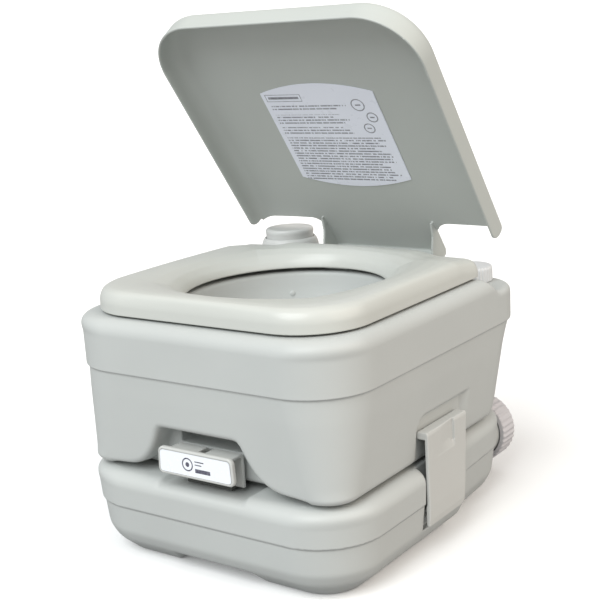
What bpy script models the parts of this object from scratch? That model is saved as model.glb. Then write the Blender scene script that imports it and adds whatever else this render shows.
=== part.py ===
"""Two-tank portable cassette toilet: a fresh-water tank with the bowl, seat and lid on it, standing on a waste tank
with a slide valve between them. Millimetres in the numbers, metres in the scene. X is left to right, the front faces
-Y, Z is up, and the origin is the middle of the base. The lid stands half open, as it does when it is put down gently."""

import math

import bmesh
import bpy
from mathutils import Matrix, Vector

MM = 0.001

# ---- driving dimensions, mm ----
HALF_W = 182.5  # half the width over the upper tank's belt
FRONT = -207.5  # front of the belt
REAR_UP = 203.0  # rear of the upper tank's belt
REAR_LOW = 190.0  # rear of the lower tank
TOP_LOW = 102.0  # lower tank's top face
BASE_UP = 105.5  # upper tank's bottom face
TOP_UP = 270.5  # rim that carries the seat
LEDGE = 255.0  # lower ledge behind the seat
LEDGE_Y = 130.0  # where the ledge starts
WALL = 3.5  # blow-moulded wall
HINGE_Y, HINGE_Z = 162.8, 269.8  # lid and seat hinge line
LID_OPEN = 54.6  # degrees from shut
LID_TOP = 35.5  # lid's top above the hinge line
LID_REACH = 362.8
LID_W = 174.3
LID_WALL = 3.0
NOTCH = 41.0  # lid's rear notches, from the hinge line
TONGUE = 80.0  # half-width of the lid's tongue
BOWL_Y = -20.0  # centre of the throat
THROAT = 42.0
BLADE_Z = (99.5, 102.5)
VALVE_TRAVEL = 95.0
PUMP = (-134.5, 165.5)
FILL = (124.0, 170.0)
SPOUT = (112.0, 58.0)  # x and z of the emptying spout's axis
LATCH_Y = (-48.0, 38.0)
LATCH_Z = (36.0, 141.5)
LATCH_PIVOT = (174.5, 47.0)

for thing in list(bpy.data.objects):
    bpy.data.objects.remove(thing, do_unlink=True)

SCENE = bpy.context.scene.collection


def material(name, colour, rough, metal=0.0):
    made = bpy.data.materials.new(name)
    made.use_nodes = True
    shader = made.node_tree.nodes["Principled BSDF"]
    shader.inputs["Base Color"].default_value = (*colour, 1.0)
    shader.inputs["Roughness"].default_value = rough
    shader.inputs["Metallic"].default_value = metal
    return made


def make(name, points, faces, colour=None, origin=(0, 0, 0), helper=False, smooth=30):
    """An object from points in mm, its faces turned outwards, with its origin where the piece turns or slides."""
    mesh = bpy.data.meshes.new(name)
    shift = Vector(origin)
    mesh.from_pydata([tuple((Vector(p) - shift) * MM) for p in points], [], faces)
    work = bmesh.new()
    work.from_mesh(mesh)
    bmesh.ops.recalc_face_normals(work, faces=work.faces)
    work.to_mesh(mesh)
    work.free()
    obj = bpy.data.objects.new(name, mesh)
    obj.location = shift * MM
    SCENE.objects.link(obj)
    if helper:
        obj.hide_render = True
        obj.display_type = "WIRE"
    else:
        mesh.materials.append(material(name, *colour))
        mesh.shade_smooth()
        mesh.set_sharp_from_angle(angle=math.radians(smooth))
    return obj


def boolean(obj, other, operation="DIFFERENCE"):
    step = obj.modifiers.new(f"{operation.lower()} {other.name}", "BOOLEAN")
    step.operation = operation
    step.object = other
    step.solver = "EXACT"
    return obj


def loft(rings):
    """Points and faces of a closed solid through rings of equal count, first and last capped."""
    count = len(rings[0])
    points = [p for ring in rings for p in ring]
    faces = [tuple(range(count)), tuple(range(len(points) - count, len(points)))]
    for k in range(len(rings) - 1):
        for i in range(count):
            j = (i + 1) % count
            faces.append((k * count + i, k * count + j, (k + 1) * count + j, (k + 1) * count + i))
    return points, faces


def turned(profile, count, centre=(0, 0), axis="Z"):
    """A closed (radius, height) profile spun about a line along Z, or along Y at x, z = centre."""
    points, faces = [], []
    rings = []
    for r, h in profile:
        if r < 1e-6:
            rings.append([len(points)])
            points.append((0, 0, h))
        else:
            rings.append(list(range(len(points), len(points) + count)))
            for i in range(count):
                a = 2 * math.pi * i / count
                points.append((r * math.cos(a), r * math.sin(a), h))
    closed = profile[0][0] > 1e-6 or profile[-1][0] > 1e-6
    pairs = list(zip(rings, rings[1:])) + ([(rings[-1], rings[0])] if closed else [])
    for low, high in pairs:
        for i in range(count):
            j = (i + 1) % count
            if len(low) == 1 and len(high) == 1:
                continue
            if len(low) == 1:
                faces.append((low[0], high[j], high[i]))
            elif len(high) == 1:
                faces.append((low[i], low[j], high[0]))
            else:
                faces.append((low[i], low[j], high[j], high[i]))
    if axis == "Z":
        points = [(x + centre[0], y + centre[1], z) for x, y, z in points]
    else:
        points = [(x + centre[0], z, -y + centre[1]) for x, y, z in points]
    return points, faces


def prism(outline, low, high, axis="Z"):
    """An outline pushed along an axis. It is given in (x, y), (x, z) or (y, z), whichever two the axis leaves."""
    place = {
        "Z": lambda a, b, c: (a, b, c),
        "Y": lambda a, b, c: (a, c, b),
        "X": lambda a, b, c: (c, a, b),
    }[axis]
    return loft([[place(a, b, c) for a, b in outline] for c in (low, high)])


def block(low, high):
    return prism([(low[0], low[1]), (high[0], low[1]), (high[0], high[1]), (low[0], high[1])], low[2], high[2])


def round_box(x0, x1, y0, y1, r, steps=4):
    """Rounded rectangle outline in two axes, counter-clockwise."""
    out = []
    for cx, cy, start in ((x1 - r, y0 + r, -90), (x1 - r, y1 - r, 0), (x0 + r, y1 - r, 90), (x0 + r, y0 + r, 180)):
        for k in range(steps + 1):
            a = math.radians(start + 90 * k / steps)
            out.append((cx + r * math.cos(a), cy + r * math.sin(a)))
    return out


def body_ring(z, inset, rear, r_front, r_rear, step=0.0, steps=5):
    """One level of a tank. A step draws the sides in behind the latches, and they close in a little further back."""
    w, f, b = HALF_W - inset, FRONT + inset, rear - inset
    right = []
    for k in range(steps + 1):
        a = math.radians(-90 + 90 * k / steps)
        right.append((w - r_front + r_front * math.cos(a), f + r_front + r_front * math.sin(a)))
    right += [(w, LATCH_Y[1] + 1.0), (w - step, LATCH_Y[1] + 7.0)]
    w_rear = w - 1.7 * step
    for k in range(steps + 1):
        a = math.radians(90 * k / steps)
        right.append((w_rear - r_rear + r_rear * math.cos(a), b - r_rear + r_rear * math.sin(a)))
    return [(x, y, z) for x, y in right] + [(-x, y, z) for x, y in reversed(right)]


def swept(path, r_out, r_in, count=10):
    """A tube along a path of points, open at both ends."""
    path = [Vector(p) for p in path]
    outer, inner = [], []
    side = None
    for i, p in enumerate(path):
        ahead = (path[min(i + 1, len(path) - 1)] - path[max(i - 1, 0)]).normalized()
        if side is None:
            side = ahead.orthogonal().normalized()
        side = (side - ahead * side.dot(ahead)).normalized()
        up = ahead.cross(side)
        for ring, r in ((outer, r_out), (inner, r_in)):
            ring.append([tuple(p + r * (math.cos(t) * side + math.sin(t) * up)) for t in (2 * math.pi * k / count for k in range(count))])
    rings = outer + inner[::-1]
    points = [q for ring in rings for q in ring]
    faces = []
    for k in range(len(rings)):
        m = (k + 1) % len(rings)
        for i in range(count):
            j = (i + 1) % count
            faces.append((k * count + i, k * count + j, m * count + j, m * count + i))
    return points, faces


def corner_path(points, r=8.0, steps=3):
    """A polyline with its corners rounded."""
    pts = [Vector(p) for p in points]
    out = [pts[0]]
    for a, b, c in zip(pts, pts[1:], pts[2:]):
        one, two = b + (a - b).normalized() * r, b + (c - b).normalized() * r
        for k in range(steps + 1):
            t = k / steps
            out.append((1 - t) ** 2 * one + 2 * t * (1 - t) * b + t * t * two)
    return out + [pts[-1]]


SHELL = (0.53, 0.55, 0.52)
SHELL_PALE = (0.62, 0.64, 0.61)
SEAT_WHITE = (0.72, 0.73, 0.70)
RUBBER = (0.06, 0.06, 0.065)
WHITE = (0.85, 0.86, 0.87)
HDPE = (SHELL, 0.45)

# ---- the cutters that shape both tanks, each with the offset its wall needs ----


def grip_cut(name, grow=0.0):
    """Front recess of the upper tank, flared at the foot, where the valve's handle stands."""
    half = [(110, BASE_UP - 12), (95, BASE_UP + 7.5), (78, BASE_UP + 12), (61, 136), (52, 160)]
    half = [(x + grow, z + (grow if z > 110 else 0)) for x, z in half]
    outline = half + [(-x, z) for x, z in reversed(half)]
    return make(name, *prism(outline, FRONT - 30, -170 + grow, "Y"), helper=True)


def side_cut(name, sign, grow=0.0):
    """Arched recess in the upper tank's side for the latch's head."""
    lo, hi = LATCH_Y[0] - 3 - grow, 66 + grow
    top = 157 + grow
    outline = [(lo, BASE_UP - 12), (hi, BASE_UP - 12), (hi, top - 16), (hi - 5, top - 5), (hi - 16, top), (lo + 14, top), (lo + 4, top - 4), (lo, top - 14)]
    x = 169.0 - grow
    return make(name, *prism(outline, min(sign * x, sign * 200), max(sign * x, sign * 200), "X"), helper=True)


def latch_pocket(name, sign, grow=0.0):
    """Pocket in the lower tank's side that takes the latch and its pivot."""
    lo, hi = LATCH_Y[0] - 1 - grow, LATCH_Y[1] + 1 + grow
    x, deep = 178.0 - grow, 168.0 - grow
    z0 = LATCH_Z[0] - 4.5 - grow
    outline = [(deep, z0), (205, z0), (205, TOP_LOW + 30), (deep, TOP_LOW + 30)]
    outline = [(sign * a, b) for a, b in outline]
    return make(name, *prism(outline, lo, hi, "Y"), helper=True)


def bowl_rings(grow, low, high):
    """The bowl: an oval at the rim that closes to the round throat."""
    levels = [(low, 42, 42, -20), (112, 42, 42, -20), (124, 45, 46, -20), (146, 60, 63, -21), (180, 82, 87, -23), (222, 100, 106, -25), (252, 109, 115, -26), (high, 112, 118, -26)]
    return [
        [((a + grow) * math.cos(t), cy + (b + grow) * math.sin(t), z) for t in (2 * math.pi * k / 32 for k in range(32))]
        for z, a, b, cy in levels
    ]


# ---- lower (waste) tank ----
LOW_LEVELS = [
    (0.0, 34.0, 38.0, 38.0),
    (18.0, 13.5, 60.0, 54.0),
    (31.0, 7.0, 66.0, 58.0),
    (60.8, 3.6, 70.0, 60.0),
    (63.2, 1.6, 71.0, 60.0),
    (87.0, 2.0, 70.5, 60.0),
    (93.5, 3.9, 68.5, 58.0),
    (98.4, 8.4, 64.0, 54.0),
    (101.2, 13.6, 59.0, 48.0),
    (TOP_LOW, 19.5, 53.0, 42.0),
]
lower = make("lower_tank", *loft([body_ring(z, i, REAR_LOW, rf, rr, 8.0) for z, i, rf, rr in LOW_LEVELS]), HDPE)
for i, (x, y) in enumerate(((108, -132), (-108, -132), (108, 96), (-108, 96))):
    boolean(lower, make(f"pad_{i}", *prism(round_box(x - 18, x + 18, y - 10, y + 10, 6, 3), TOP_LOW - 2, BASE_UP - 0.3), helper=True), "UNION")
boolean(lower, make("spout_neck_add", *turned([(0, 168), (33, 168), (33, 219), (0, 219)], 32, SPOUT, "Y"), helper=True), "UNION")

low_void = make("low_void", *loft([body_ring(max(z, 3.8) if k < 9 else z - WALL, i + WALL + (0 if k else 3), REAR_LOW, max(rf - WALL, 8), max(rr - WALL, 8), 8.0) for k, (z, i, rf, rr) in enumerate(LOW_LEVELS) if k not in (8,)]), helper=True)
boolean(low_void, make("valve_keep", *block((-69.5, -152, 86.5), (69.5, 55.8, 130)), helper=True))
boolean(low_void, make("scoop_keep", *block((-64, -230, 93.5), (64, -150, 130)), helper=True))
boolean(low_void, make("foot_keep", *prism([(-66, -10), (66, -10), (52, 16.5), (-52, 16.5)], FRONT - 10, -150, "Y"), helper=True))
for sign, side in ((1, "right"), (-1, "left")):
    boolean(low_void, latch_pocket(f"latch_keep_{side}", sign, WALL))
SCREWS = [(57, -110), (-57, -110), (57, 43), (-57, 43)]
for i, (x, y) in enumerate(SCREWS):
    boolean(low_void, make(f"boss_keep_{i}", *turned([(0, 72), (5.5, 72), (5.5, 100), (0, 100)], 12, (x, y)), helper=True))

boolean(lower, make("valve_pocket", *block((-66, -149.7, 90), (66, 52, 130)), helper=True))
boolean(lower, make("scoop_cut", *prism([(-60, 120), (-56.5, 98.6), (-46, 97.6), (46, 97.6), (56.5, 98.6), (60, 120)], FRONT - 20, -149, "Y"), helper=True))
boolean(lower, make("foot_cut", *prism([(-62, -12), (62, -12), (48, 12.5), (-48, 12.5)], FRONT - 10, -154, "Y"), helper=True))
for sign, side in ((1, "right"), (-1, "left")):
    boolean(lower, latch_pocket(f"latch_cut_{side}", sign))
    round_end = [(sign * (LATCH_PIVOT[0] + 4.5 * math.sin(math.radians(a))), LATCH_PIVOT[1] - 4.5 * math.cos(math.radians(a))) for a in range(0, 181, 20)]
    lugs = make(f"latch_lug_{side}", *prism([(sign * 165, LATCH_PIVOT[1] - 4.5)] + round_end + [(sign * 165, LATCH_PIVOT[1] + 4.5)], LATCH_Y[0] + 22, LATCH_Y[1] - 22, "Y"), helper=True)
    boolean(lower, lugs, "UNION")
boolean(lower, low_void)
boolean(lower, make("inlet_cut", *turned([(0, 70), (THROAT, 70), (THROAT, 96), (0, 96)], 32, (0, BOWL_Y)), helper=True))
boolean(lower, make("spout_cut", *turned([(0, 150), (28.5, 150), (28.5, 225), (0, 225)], 32, SPOUT, "Y"), helper=True))
for i, (x, y) in enumerate(SCREWS):
    boolean(lower, make(f"boss_cut_{i}", *turned([(0, 76), (2.3, 76), (2.3, 100), (0, 100)], 8, (x, y)), helper=True))
for sign, side in ((1, "right"), (-1, "left")):
    boolean(lower, make(f"pin_cut_{side}", *turned([(0, -60), (2.3, -60), (2.3, 60), (0, 60)], 12, (sign * LATCH_PIVOT[0], LATCH_PIVOT[1]), "Y"), helper=True))

# ---- slide valve between the tanks ----
frame = make("valve_frame", *prism(round_box(-65.5, 65.5, -149.3, 51.6, 6, 3), 90.3, 105.2), (SHELL_PALE, 0.4))
boolean(frame, make("blade_slot", *block((-53, -155, BLADE_Z[0] - 0.3), (53, 31, BLADE_Z[1] + 0.3)), helper=True))
boolean(frame, make("frame_hole", *turned([(0, 80), (THROAT, 80), (THROAT, 110), (0, 110)], 32, (0, BOWL_Y)), helper=True))
boolean(frame, make("frame_window", *block((-34, -155, 101), (34, -78, 110)), helper=True))
boolean(frame, make("seal_groove", *turned([(43.4, 96.0), (48.1, 96.0), (48.1, 100), (43.4, 100)], 32, (0, BOWL_Y)), helper=True))
for i, (x, y) in enumerate(SCREWS):
    boolean(frame, make(f"frame_screw_cut_{i}", *turned([(0, 80), (2.3, 80), (2.3, 102.2), (4.4, 102.2), (4.4, 110), (0, 110)], 12, (x, y)), helper=True))
    make(f"valve_screw_{i + 1}", *turned([(0, 78), (2.0, 78.8), (2.0, 102.5), (4.0, 102.5), (4.0, 103.9), (3.0, 104.9), (1.2, 104.9), (1.2, 103.6), (0, 103.6)], 12, (x, y)), ((0.6, 0.6, 0.62), 0.3, 1.0))
make("valve_seal", *turned([(43.8, 96.4), (47.7, 96.4), (47.7, 98.6), (46.6, 99.1), (44.9, 99.1), (43.8, 98.6)], 32, (0, BOWL_Y)), (RUBBER, 0.75))

tail = [(30, -184.5), (30, -72), (36, -68), (46, -68), (52.5, -61.5)]
tail += [(52.5, 8), (49, 20), (40, 28), (-40, 28), (-49, 20), (-52.5, 8), (-52.5, -61.5), (-46, -68), (-36, -68), (-30, -72), (-30, -184.5)]
make("valve_blade", *prism(tail, *BLADE_Z), (WHITE, 0.35))

PLATE_Y = (-206.0, -200.0)
plate = [(x * (1 + 0.03 * (143.5 - z) / 30), z) for x, z in round_box(-49.5, 49.5, 113.5, 143.5, 6.5, 4)]
handle = make("valve_handle", *prism(plate, *PLATE_Y, "Y"), (SHELL_PALE, 0.4))
boolean(handle, make("plate_inset", *prism([(x * (1 + 0.03 * (143.5 - z) / 30), z) for x, z in round_box(-46.8, 46.8, 116.2, 140.8, 4.2, 4)], FRONT - 10, -205.3, "Y"), helper=True))
boolean(handle, make("handle_hood", *prism([(-201, 139.8), (-201, 136.6), (-181, 136.6), (-179.4, 135), (-179.4, 102.8), (-176, 102.8), (-176, 136.6), (-179.4, 139.8)], -42, 42, "X"), helper=True), "UNION")
boolean(handle, make("handle_foot", *block((-29, -184, 102.8), (29, -176.5, 106.2)), helper=True), "UNION")
for sign in (1, -1):
    boolean(handle, make(f"handle_web_{sign}", *prism([(-201, 120), (-201, 139), (-177, 139), (-177, 103.2), (-184, 103.2)], min(sign * 26, sign * 29), max(sign * 26, sign * 29), "X"), helper=True), "UNION")
boolean(handle, make("handle_slot", *block((-4.5, -199.7, 108), (4.5, -170, 150)), helper=True))
make("handle_label", *prism([(x * (1 + 0.03 * (143.5 - z) / 30), z) for x, z in round_box(-46.3, 46.3, 116.7, 140.3, 3.8, 4)], -206.0, -205.6, "Y"), (WHITE, 0.3))

# ---- side latches ----
for sign, side in ((1, "right"), (-1, "left")):
    outline = [(179.2, 37.5), (182.4, LATCH_Z[0]), (183.6, 38), (184.6, 60), (184.6, 138), (183.2, LATCH_Z[1]), (172.2, LATCH_Z[1]), (170.6, 139.6), (170.6, 134.8), (172.2, 133.4), (180.4, 133.4), (180.4, 62), (179.2, 58)]
    latch = make(f"latch_{side}", *prism([(sign * a, b) for a, b in outline], *LATCH_Y, "Y"), (SHELL_PALE, 0.45), origin=(sign * LATCH_PIVOT[0], 0, LATCH_PIVOT[1]))
    # ears inside the plate reach in to the pivot, one each side of the tank's lug
    for k, (lo, hi) in enumerate(((LATCH_Y[0] + 9, LATCH_Y[0] + 21), (LATCH_Y[1] - 21, LATCH_Y[1] - 9))):
        ear = [(sign * a, b) for a, b in ((180, 41), (174.5, 41.4), (170.4, 43.4), (169, 47), (170.4, 50.6), (174.5, 52.6), (180.4, 56))]
        boolean(latch, make(f"ear_{side}_{k}", *prism(ear, lo, hi, "Y"), helper=True), "UNION")
    boolean(latch, make(f"ear_hole_{side}", *turned([(0, -60), (2.35, -60), (2.35, 60), (0, 60)], 12, (sign * LATCH_PIVOT[0], LATCH_PIVOT[1]), "Y"), helper=True))
    # thumb pull: a wedge-shaped dish near the rear top corner
    dish = make(f"dish_{side}", [(sign * x, y, z) for x, y, z in (
        (186, -22, 117), (186, 14, 117), (186, 14, 143.5), (186, 2, 143.5),
        (184.4, -20, 118), (181.2, 12, 122), (181.2, 12, 143.5), (184.4, 4, 143.5))],
        [(0, 1, 2, 3), (4, 7, 6, 5), (0, 4, 5, 1), (1, 5, 6, 2), (2, 6, 7, 3), (3, 7, 4, 0)], helper=True)
    boolean(latch, dish)
    make(f"latch_pin_{side}", *turned([(0, LATCH_Y[0] + 10), (1.7, LATCH_Y[0] + 10), (2.0, LATCH_Y[0] + 10.4), (2.0, LATCH_Y[1] - 10.4), (1.7, LATCH_Y[1] - 10), (0, LATCH_Y[1] - 10)], 12, (sign * LATCH_PIVOT[0], LATCH_PIVOT[1]), "Y"), ((0.6, 0.6, 0.62), 0.3, 1.0))

# ---- emptying spout's cap ----
cap_points, cap_faces = turned([(34.6, 201.5), (39.4, 201.5), (40.5, 202.5), (40.5, 222.5), (39, 224), (30, 224.6), (0, 224.6), (0, 221), (34.6, 221)], 48, SPOUT, "Y")
shaped = []
for x, y, z in cap_points:
    dx, dz = x - SPOUT[0], z - SPOUT[1]
    r = math.hypot(dx, dz)
    if r > 38.7:
        step = round(math.atan2(dz, dx) / (2 * math.pi) * 48) % 2
        f = (r - (1.1 if step else 0.0)) / r
        dx, dz = dx * f, dz * f
    shaped.append((SPOUT[0] + dx, y, SPOUT[1] + dz))
make("spout_cap", shaped, cap_faces, ((0.60, 0.59, 0.62), 0.4), origin=(SPOUT[0], 212, SPOUT[1]))
make("spout_gasket", *turned([(27, 219.3), (32.6, 219.3), (32.6, 220.7), (27, 220.7)], 32, SPOUT, "Y"), (RUBBER, 0.75))

# ---- upper (fresh-water) tank with the bowl ----
UP_LEVELS = [
    (BASE_UP, 26.0, 34.0, 26.0, 50.0),
    (107.3, 18.5, 26.0, 30.0, 50.0),
    (112.5, 13.2, 25.0, 34.0, 52.0),
    (121.0, 10.6, 22.5, 40.0, 54.0),
    (150.0, 7.6, 18.5, 50.0, 56.0),
    (190.0, 3.9, 12.0, 62.0, 58.0),
    (205.0, 2.8, 6.0, 66.0, 58.0),
    (214.6, 2.4, 1.0, 67.5, 58.0),
    (217.0, 0.0, 0.0, 69.0, 60.0),
    (256.5, 0.6, 0.0, 69.0, 60.0),
    (262.5, 2.0, 0.0, 68.0, 59.0),
    (267.0, 5.6, 0.0, 64.5, 55.0),
    (269.7, 10.0, 0.0, 60.0, 51.0),
    (TOP_UP, 15.0, 0.0, 55.0, 46.0),
]
upper = make("upper_tank", *loft([body_ring(z, i, REAR_UP - e, rf, rr) for z, i, e, rf, rr in UP_LEVELS]), HDPE)
ledge = [(112, 300), (113.5, TOP_UP), (118, 267.5), (125, 258), (131, LEDGE), (230, LEDGE), (230, 300)]
boolean(upper, make("ledge_cut", *prism(ledge, -220, 220, "X"), helper=True))
for sign in (1, -1):
    arc = [(HINGE_Y + 7.8 * math.cos(math.radians(a)), HINGE_Z + 7.8 * math.sin(math.radians(a))) for a in range(0, 181, 30)]
    lug = [(HINGE_Y + 7.8, LEDGE - 2)] + arc + [(HINGE_Y - 7.8, LEDGE - 2)]
    boolean(upper, make(f"hinge_lug_{sign}", *prism(lug, min(sign * 26, sign * 42), max(sign * 26, sign * 42), "X"), helper=True), "UNION")
boolean(upper, make("fill_neck", *turned([(0, LEDGE - 2), (20.5, LEDGE - 2), (20.5, 267), (0, 267)], 24, FILL), helper=True), "UNION")

void_levels = []
for k, (z, i, e, rf, rr) in enumerate(UP_LEVELS):
    if k in (1, 10, 12):
        continue
    zz = {0: BASE_UP + WALL + 0.2, 13: TOP_UP - WALL}.get(k, z)
    void_levels.append(body_ring(zz, i + WALL, REAR_UP - e, max(rf - WALL, 8), max(rr - WALL, 8)))
up_void = make("up_void", *loft(void_levels), helper=True)
boolean(up_void, make("bowl_keep", *loft(bowl_rings(WALL, 90, 290)), helper=True))
boolean(up_void, make("ledge_keep", *prism([(106, 320), (109, 267), (121, 253), (128, LEDGE - WALL), (230, LEDGE - WALL), (230, 320)], -220, 220, "X"), helper=True))
boolean(up_void, grip_cut("grip_keep", WALL))
for sign, side in ((1, "right"), (-1, "left")):
    boolean(up_void, side_cut(f"side_keep_{side}", sign, WALL))
boolean(up_void, make("groove_keep", *turned([(0, 90), (54, 90), (54, 113.5), (0, 113.5)], 32, (0, BOWL_Y)), helper=True))

boolean(upper, grip_cut("grip_cut"))
for sign, side in ((1, "right"), (-1, "left")):
    boolean(upper, side_cut(f"side_cut_{side}", sign))
boolean(upper, up_void)
boolean(upper, make("bowl_cut", *loft(bowl_rings(0.0, 90, 290)), helper=True))
boolean(upper, make("groove_cut", *turned([(44.6, 95), (50.4, 95), (50.4, 109.4), (44.6, 109.4)], 32, (0, BOWL_Y)), helper=True))
boolean(upper, make("fill_cut", *turned([(0, 240), (17, 240), (17, 280), (0, 280)], 24, FILL), helper=True))
boolean(upper, make("pump_cut", *turned([(0, 240), (17.2, 240), (17.2, 280), (0, 280)], 24, PUMP), helper=True))
boolean(upper, make("hinge_cut", *prism([(HINGE_Y + 3.4 * math.cos(math.radians(a)), HINGE_Z + 3.4 * math.sin(math.radians(a))) for a in range(0, 360, 30)], -90, 90, "X"), helper=True))
TO_BOWL = Vector((-PUMP[0], BOWL_Y - PUMP[1], 0)).normalized()
NOZZLE = Vector((PUMP[0], PUMP[1], 246)) + TO_BOWL * 118.0
boolean(upper, make("nozzle_cut", *loft([[tuple(NOZZLE + TO_BOWL * s + Vector((-TO_BOWL.y, TO_BOWL.x, 0)) * 4.6 * math.cos(t) + Vector((0, 0, 4.6 * math.sin(t)))) for t in (2 * math.pi * k / 12 for k in range(12))] for s in (-22, 22)]), helper=True))
make("bowl_outlet_seal", *turned([(45.0, 105.6), (50.0, 105.6), (50.0, 108.6), (49.2, 109.1), (45.8, 109.1), (45.0, 108.6)], 32, (0, BOWL_Y)), (RUBBER, 0.75))

# ---- hinge pins ----
for sign, side in ((1, "right"), (-1, "left")):
    ends = (sign * 28, sign * 76.4)
    pin = [[(x, HINGE_Y + 3.0 * math.cos(t), HINGE_Z + 3.0 * math.sin(t)) for t in (2 * math.pi * k / 12 for k in range(12))] for x in ends]
    make(f"hinge_pin_{side}", *loft(pin), (SHELL_PALE, 0.4))

# ---- bellows flush pump ----
collar = [(29.5, 255.3), (34, 255.3), (35.4, 262), (36.8, 276), (37.2, 284), (36.2, 290), (34.0, 294.6), (32.4, 296.6), (31.6, 296), (31.6, 272), (29.5, 264)]
make("pump_collar", *turned(collar, 24, PUMP), (SHELL_PALE, 0.4))
base = make("pump_base", *turned([(0, 243), (16.8, 243), (16.8, 255.3), (29.0, 255.3), (29.0, 258.4), (0, 258.4)], 24, PUMP), (WHITE, 0.4))
INTAKE = (PUMP[0] - 7.5, PUMP[1])
OUTLET = (PUMP[0] + 7.5, PUMP[1])
boolean(base, make("intake_hole", *turned([(0, 235), (3.2, 235), (3.2, 265), (0, 265)], 12, INTAKE), helper=True))
boolean(base, make("outlet_hole", *turned([(0, 235), (3.2, 235), (3.2, 265), (0, 265)], 12, OUTLET), helper=True))
boolean(base, make("intake_socket", *turned([(0, 235), (5.3, 235), (5.3, 251), (0, 251)], 16, INTAKE), helper=True))
boolean(base, make("outlet_socket", *turned([(0, 235), (5.3, 235), (5.3, 253), (0, 253)], 16, OUTLET), helper=True))
make("intake_valve", *turned([(0, 258.7), (5.5, 258.7), (5.5, 259.9), (0, 260.3)], 16, INTAKE), (RUBBER, 0.7))
make("outlet_valve", *turned([(0, 251.2), (4.9, 251.2), (4.9, 252.6), (0, 252.6)], 16, OUTLET), (RUBBER, 0.7))
intake_path = corner_path([(*INTAKE, 250.7), (*INTAKE, 226), (-122.0, 132.0, 176), (-122.0, 132.0, 114)], 14)
make("intake_tube", *swept(intake_path, 4.8, 3.3, 8), (WHITE, 0.4))
outer_b, inner_b = [], []
for k in range(5):
    z = 259.0 + 8.0 * k
    outer_b += [(23.0, z), (28.0, z + 4.0)] if k < 4 else [(23.0, z), (25.0, z + 6.7)]
inner_b = [(max(r - 2.0, 0), z) for r, z in outer_b]
inner_b[-1] = (21.5, 296.2)
profile = outer_b + [(0, 298.7), (0, 296.2)] + inner_b[::-1]
profile[profile.index((25.0, 297.7))] = (25.0, 298.7)
make("pump_bellows", *turned(profile[:-1] + [(21.0, 259.0)], 16, PUMP), (RUBBER, 0.7))
make("pump_button", *turned([(0, 299.0), (28.5, 299.0), (30.2, 300.2), (31.0, 302), (31.0, 305.2), (29.8, 307.4), (26.5, 308.4), (0, 307.2)], 32, PUMP), (SHELL_PALE, 0.35))
start = Vector((OUTLET[0], OUTLET[1], 250.7))
end = NOZZLE - TO_BOWL * 9.3
tube_path = corner_path([start, (start.x, start.y, 222), (end.x - TO_BOWL.x * 26, end.y - TO_BOWL.y * 26, 222), (end.x - TO_BOWL.x * 16, end.y - TO_BOWL.y * 16, end.z), end], 7)
make("flush_tube", *swept(tube_path, 4.8, 3.3, 8), (WHITE, 0.4))
make("flush_nozzle", *swept([NOZZLE - TO_BOWL * 9.0, NOZZLE - TO_BOWL * 4.0, NOZZLE + TO_BOWL * 9.0], 4.2, 2.4, 12), (WHITE, 0.4))

# ---- water filler ----
fill_points, fill_faces = turned([(21.2, 255.3), (25.6, 255.3), (26.5, 256.3), (26.5, 271.2), (25.0, 273.6), (0, 273.9), (0, 270.4), (21.2, 270.4)], 48, FILL)
shaped = []
for x, y, z in fill_points:
    dx, dy = x - FILL[0], y - FILL[1]
    r = math.hypot(dx, dy)
    if r > 25.5 and round(math.atan2(dy, dx) / (2 * math.pi) * 48) % 2:
        dx, dy = dx * (r - 0.9) / r, dy * (r - 0.9) / r
    shaped.append((FILL[0] + dx, FILL[1] + dy, z))
make("filler_cap", shaped, fill_faces, (WHITE, 0.35), origin=(*FILL, 262))
make("filler_gasket", *turned([(16.5, 267.4), (20.3, 267.4), (20.3, 270.0), (16.5, 270.0)], 24, FILL), (RUBBER, 0.75))

# ---- seat: a ring between a rounded rectangle and an oval, open underneath ----
SEAT = dict(w=168.0, f=-192.5, b=119.5, rf=70.0, rr=18.0, a=108.0, o=112.0, cy=-30.0)


def seat_outline(steps=5, side=3):
    w, f, b, rf, rr = (SEAT[k] for k in ("w", "f", "b", "rf", "rr"))
    pts = [(w * 0.55 * k / 2, f) for k in range(2)]
    for k in range(steps + 1):
        a = math.radians(-90 + 90 * k / steps)
        pts.append((w - rf + rf * math.cos(a), f + rf + rf * math.sin(a)))
    for k in range(1, side):
        pts.append((w, f + rf + (b - rr - f - rf) * k / side))
    for k in range(4):
        a = math.radians(90 * k / 3)
        pts.append((w - rr + rr * math.cos(a), b - rr + rr * math.sin(a)))
    pts += [(w * 0.55, b), (w * 0.27, b), (0.0, b)]
    return pts + [(-x, y) for x, y in reversed(pts) if x > 1e-6]


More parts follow.
